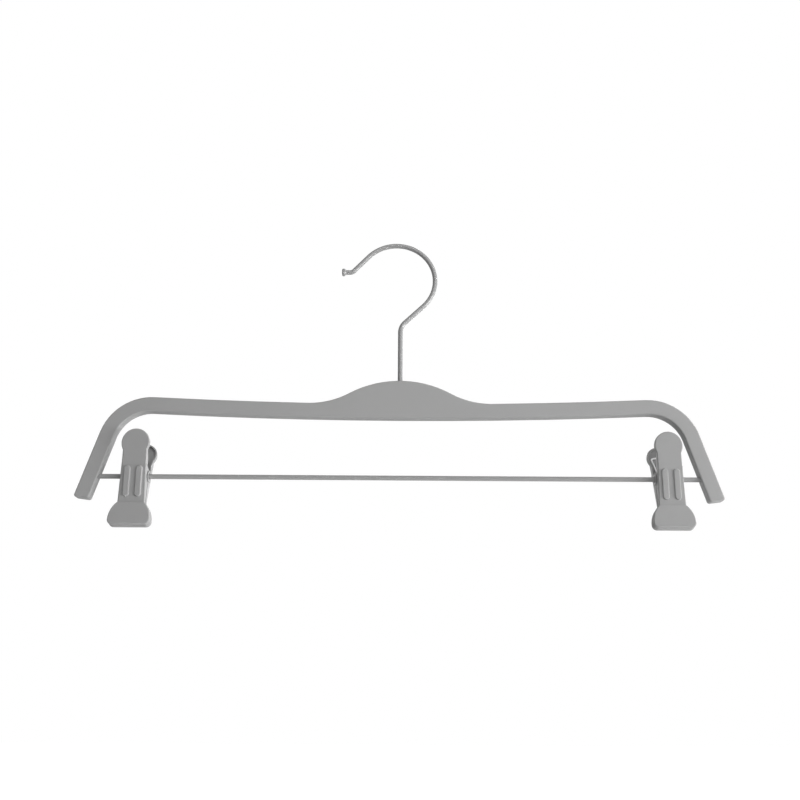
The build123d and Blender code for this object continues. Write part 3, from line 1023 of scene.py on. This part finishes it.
def lever_shell(name):
    """Pad, body and side flanges, folded from one sheet, with the steel that runs into the cap."""
    clip, sizes, cap = settings().clip, settings().lever, settings().cap
    front = -plate_distance()
    pad_level, stretch = up_plate(sizes.pad_height), 1 / cos(clip.tilt)
    middle = (0, front, pad_level)
    piece = circle(name, PAD_SIDES, sizes.pad_radius, middle, (QUARTER_TURN, 0, 0))
    scale(middle, z=stretch)
    tiny = sizes.cut_edge / 10
    neck = pad_level - sizes.pad_radius * stretch * sin(NECK_ANGLE) + tiny
    pick(piece, "EDGE", lambda edge: every(edge, lambda at: at.z < neck))
    half_width = sizes.pad_radius * cos(NECK_ANGLE)
    heights_and_edges = (
        (sizes.pad_height - sizes.pad_radius - sizes.edge, sizes.hinge_edge),
        (sizes.upper_level, sizes.hinge_edge),
        (-sizes.hinge_level, sizes.hinge_edge),
        (-sizes.lower_level, sizes.lower_edge),
        (-(sizes.lower_level + cap.top_drop) / 2, sizes.lower_edge),
        (-cap.top_drop, sizes.lower_edge),
    )
    for height, _ in heights_and_edges:
        extrude((0, 0, 0))
        about = (0, front, up_plate(height))
        scale(about, z=0)
        next_half_width = clip.hinge_width / 2 - height * tan(sizes.flare)
        scale(about, x=next_half_width / half_width)
        half_width = next_half_width
    bottom = up_plate(-cap.top_drop) + tiny

    def at_the_bottom(element):
        return every(element, lambda at: at.z < bottom)

    pick(piece, "EDGE", lambda edge: edge.is_boundary and not at_the_bottom(edge))
    extrude((0, sizes.pad_rim, 0))
    behind = front + sizes.pad_rim / 2
    for height, edge_distance in heights_and_edges:
        level = up_plate(height)
        pick(piece, "VERT", lambda vertex: abs(vertex.co.z - level) < tiny and vertex.co.y > behind)
        move(y=flange_depth(level, edge_distance) - sizes.pad_rim)
    face_outward(piece)
    modify(piece, "SOLIDIFY", thickness=clip.sheet, offset=-1, use_even_offset=True)
    bpy.ops.object.mode_set(mode="EDIT")
    face_limit, cut_limit = front + tiny, front + clip.sheet * CUT_EDGE_SHEETS
    for radius, segments, in_place in (
        (sizes.edge, RIM_SEGMENTS, lambda at: at.y < face_limit),
        (sizes.cut_edge, RIM_SEGMENTS // 2, lambda at: at.y > cut_limit),
    ):
        round_off(
            piece, radius, segments, lambda edge: every(edge, in_place) and not at_the_bottom(edge)
        )
    pick(piece, "FACE", at_the_bottom)
    extrude((0, -sizes.tongue * sin(clip.tilt), -sizes.tongue * cos(clip.tilt)))
    face_outward(piece)
    return piece


def lever_rib(x):
    """A raised rib with soft shoulders, its foot sunk into the plate."""
    clip, sizes = settings().clip, settings().lever
    radius, sunk, front = sizes.rib_width / 2, clip.sheet / 2, -plate_distance()
    top, bottom = up_plate(sizes.rib_top), up_plate(-sizes.rib_bottom)
    middle, run = (top + bottom) / 2, (top - bottom) / 2 - radius
    foot = (x, front + sunk, middle)
    piece = circle("rib", RIB_SIDES, radius, foot, (QUARTER_TURN, 0, 0))
    extrude((0, -sunk, 0))
    width_share, height_share = 1, 0
    for next_width_share, next_height_share in RIB_SHOULDER_SHARES:
        extrude((0, (height_share - next_height_share) * sizes.rib_height, 0))
        narrowing = next_width_share / width_share
        scale((x, front, middle), x=narrowing, z=narrowing)
        width_share, height_share = next_width_share, next_height_share
    for way in (1, -1):
        pick(piece, "VERT", lambda vertex: (vertex.co.z - middle) * way > 0)
        move(z=run * way)
    face_outward(piece)
    return piece


def lever_ear(x):
    """A hinge ear: round about the hinge, and spread where it leaves the plate."""
    clip, sizes = settings().clip, settings().lever
    root = -plate_distance() + clip.sheet / 2
    piece = circle("ear", EAR_SIDES, sizes.ear_radius, (x, 0, 0), (0, QUARTER_TURN, 0))
    pick(piece, "VERT", lambda vertex: vertex.co.y < -sizes.cut_edge)
    scale((x, root, 0), y=0, z=sizes.ear_base / sizes.ear_radius)
    move(z=up_plate(0))
    bpy.ops.mesh.select_all(action="SELECT")
    extrude((clip.sheet, 0, 0))
    face_outward(piece)
    return piece


def ear_joggle():
    """The bend that carries the inner ear in from its flange."""
    clip, sizes = settings().clip, settings().lever
    half = clip.hinge_width / 2
    left, right = -(half - clip.sheet / 2), -(half - 2 * clip.sheet - clip.ear_gap)
    back, front = -sizes.hinge_edge * cos(clip.tilt), -plate_distance() + clip.sheet / 2
    low, high = -sizes.upper_level, sizes.upper_level + up_plate(0) / 2
    piece = box("joggle", (left, front, low), (right, back, high))
    modify(piece, "BEVEL", width=sizes.cut_edge * 2, segments=3)
    face_outward(piece)
    return piece


def pressed_lever(name):
    """The front lever: shell, ribs, ears and the hole for the tube, tilted on the hinge."""
    clip, sizes = settings().clip, settings().lever
    half = clip.hinge_width / 2
    piece = lever_shell(name)
    for way in (-1, 1):
        joined(piece, lever_rib(way * sizes.rib_pitch / 2), "UNION")
    joined(piece, ear_joggle(), "UNION")
    for x in (half - clip.sheet * OUTER_EAR_SHEETS, -(half - clip.sheet - clip.ear_gap)):
        joined(piece, lever_ear(x), "UNION")
    start_afresh()
    radius, depth = settings().tube.radius + sizes.hole_play, clip.hinge_width * DRILL_SHARE
    bpy.ops.mesh.primitive_cylinder_add(
        vertices=EAR_SIDES, radius=radius, depth=depth, rotation=(0, QUARTER_TURN, 0)
    )
    drill = bpy.context.object
    apply_place(drill)
    joined(piece, drill, "DIFFERENCE")
    face_outward(piece)
    piece.rotation_euler.x = clip.tilt
    apply_place(piece)
    return piece


class HANGER_OT_levers(bpy.types.Operator):
    """Presses the four levers"""

    bl_idname = "hanger.levers"
    bl_label = "Levers"

    def execute(self, context):
        front = pressed_lever("front_lever_pattern")
        rear = turned_round(front, "rear_lever_pattern")
        deliver_halves(front, rear, "pressing", "lever", "lever_paint", SMOOTH["lever"])
        return {"FINISHED"}


# Studio

# How bright the white surroundings are in a reflection, against what the camera sees
SHONE_SHARE = 0.4
LAMP_TARGET = (0, 0, -0.12)
# The lamps by the names of their powers: place, width and height
LAMPS = {
    "key": ((1.7, -1.5, -0.15), 1.2, 0.9),
    "top": ((0.1, -0.8, 0.7), 0.9, 0.9),
    "back": ((0.2, 1.3, 0.4), 1.2, 0.9),
    "low": ((1.7, -0.35, -0.41), 1.2, 0.2),
    "under": ((0, -0.02, -0.5), 0.9, 0.3),
}
FLOOR_WIDTH = 12
# The floor's glow rises over this span of distances, between these shares of white
GLOW_REACH = (0.4, 2.2)
GLOW_SHARES = (0.2, 1.0)


def add_lamp(name, place, width, height, power_watts):
    """A soft rectangular lamp that looks at the hanger and isn't seen itself."""
    data = bpy.data.lights.new(name, "AREA")
    data.shape = "RECTANGLE"
    data.size, data.size_y = width, height
    data.energy = power_watts
    made = bpy.data.objects.new(name, data)
    made.location = place
    made.rotation_euler = (Vector(LAMP_TARGET) - Vector(place)).to_track_quat("-Z", "Y").to_euler()
    made.visible_camera = False
    bpy.context.scene.collection.objects.link(made)


def seen_directly(tree):
    """One for what the camera sees directly or through glass, and a share for reflections."""
    path = node(tree, "LightPath").outputs
    shone = reckon(tree, "MULTIPLY", path["Is Glossy Ray"], SHONE_SHARE)
    mirrored = reckon(tree, "MAXIMUM", shone, path["Is Transmission Ray"])
    return reckon(tree, "MAXIMUM", path["Is Camera Ray"], mirrored)


def white_world(ambient):
    """White to the camera, and a low even light on the object."""
    world = bpy.data.worlds.new("studio")
    world.use_nodes = True
    tree = world.node_tree
    strength = spread(tree, seen_directly(tree), 0.0, 1.0, ambient, 1.0)
    feed(tree, tree.nodes["Background"], {"Color": grey(1), "Strength": strength})
    bpy.context.scene.world = world


def paper_finish():
    """Pale paper with a painted glow that only the camera sees: low near the hanger, so that its shadow shows, and
    rising to white far off.
    """
    tree, shader = new_finish("studio paper")
    where = node(tree, "TexCoord").outputs["Object"]
    grain = varied(tree, noise(tree, where, 60.0, 3.0), 0.0, 1.0)
    distance = node(tree, "VectorMath", {0: where}, operation="LENGTH").outputs["Value"]
    far = spread(tree, distance, *GLOW_REACH, *GLOW_SHARES)
    inputs = {
        "Base Color": blended(tree, grain, grey(0.86), grey(0.9)),
        "Roughness": 0.9,
        "Emission Color": grey(1),
        # Painted glow for camera rays, rising with distance from the hanger
        "Emission Strength": reckon(tree, "MULTIPLY", seen_directly(tree), far),
    }
    feed(tree, shader, inputs)


class HANGER_OT_stage(bpy.types.Operator):
    """Sets up the camera, the lamps, the white surroundings and the floor"""

    bl_idname = "hanger.stage"
    bl_label = "Studio"

    def execute(self, context):
        sizes, scene = settings().stage, context.scene
        scene.view_settings.view_transform = "Standard"
        camera = bpy.data.cameras.new("camera")
        camera.lens = sizes.lens
        camera.clip_start, camera.clip_end = 0.01, 100
        eye = bpy.data.objects.new("camera", camera)
        eye.location = (0, -sizes.camera_back, -sizes.camera_drop)
        upright = Matrix.Rotation(QUARTER_TURN + sizes.camera_pitch, 3, "X")
        eye.rotation_euler = (upright @ Matrix.Rotation(sizes.camera_roll, 3, "Z")).to_euler()
        scene.collection.objects.link(eye)
        scene.camera = eye
        for name, (place, width, height) in LAMPS.items():
            add_lamp(f"{name} lamp", place, width, height, getattr(sizes, name))
        white_world(sizes.ambient)
        start_afresh()
        bpy.ops.mesh.primitive_plane_add(size=FLOOR_WIDTH, location=(0, 0, -sizes.floor_drop))
        floor = added("studio_floor")
        bpy.ops.mesh.subdivide(number_cuts=3)
        apply_place(floor)
        paper_finish()
        floor.data.materials.append(bpy.data.materials["studio paper"])
        return {"FINISHED"}


class HANGER_PT_panel(bpy.types.Panel):
    """The hanger's pieces and settings"""

    bl_label = "Skirt hanger"
    bl_idname = "HANGER_PT_panel"
    bl_space_type = "VIEW_3D"
    bl_region_type = "UI"
    bl_category = "Hanger"

    def draw(self, context):
        for step in STEPS:
            self.layout.operator(step.bl_idname)
        for pointer in HangerSettings.__annotations__:
            group = getattr(settings(), pointer)
            boxed = self.layout.box()
            for name in group.__annotations__:
                boxed.prop(group, name)


STEPS = (
    HANGER_OT_finishes, HANGER_OT_hook, HANGER_OT_springs, HANGER_OT_caps, HANGER_OT_tubes,
    HANGER_OT_levers, HANGER_OT_stage,
)
CLASSES = (
    ClipSizes, LeverSizes, CapSizes, TubeSizes, SpringSizes, HookSizes, Finishes, StageSizes,
    HangerSettings, *STEPS, HANGER_PT_panel,
)


def register():
    for made in CLASSES:
        bpy.utils.register_class(made)
    bpy.types.Scene.hanger = PointerProperty(type=HangerSettings)


def unregister():
    del bpy.types.Scene.hanger
    for made in reversed(CLASSES):
        bpy.utils.unregister_class(made)


def main():
    register()
    bpy.ops.hanger.finishes()
    bpy.ops.hanger.hook()
    bpy.ops.hanger.springs()
    bpy.ops.hanger.caps()
    bpy.ops.hanger.tubes()
    bpy.ops.hanger.levers()
    bpy.ops.hanger.stage()


if __name__ == "__main__":
    main()
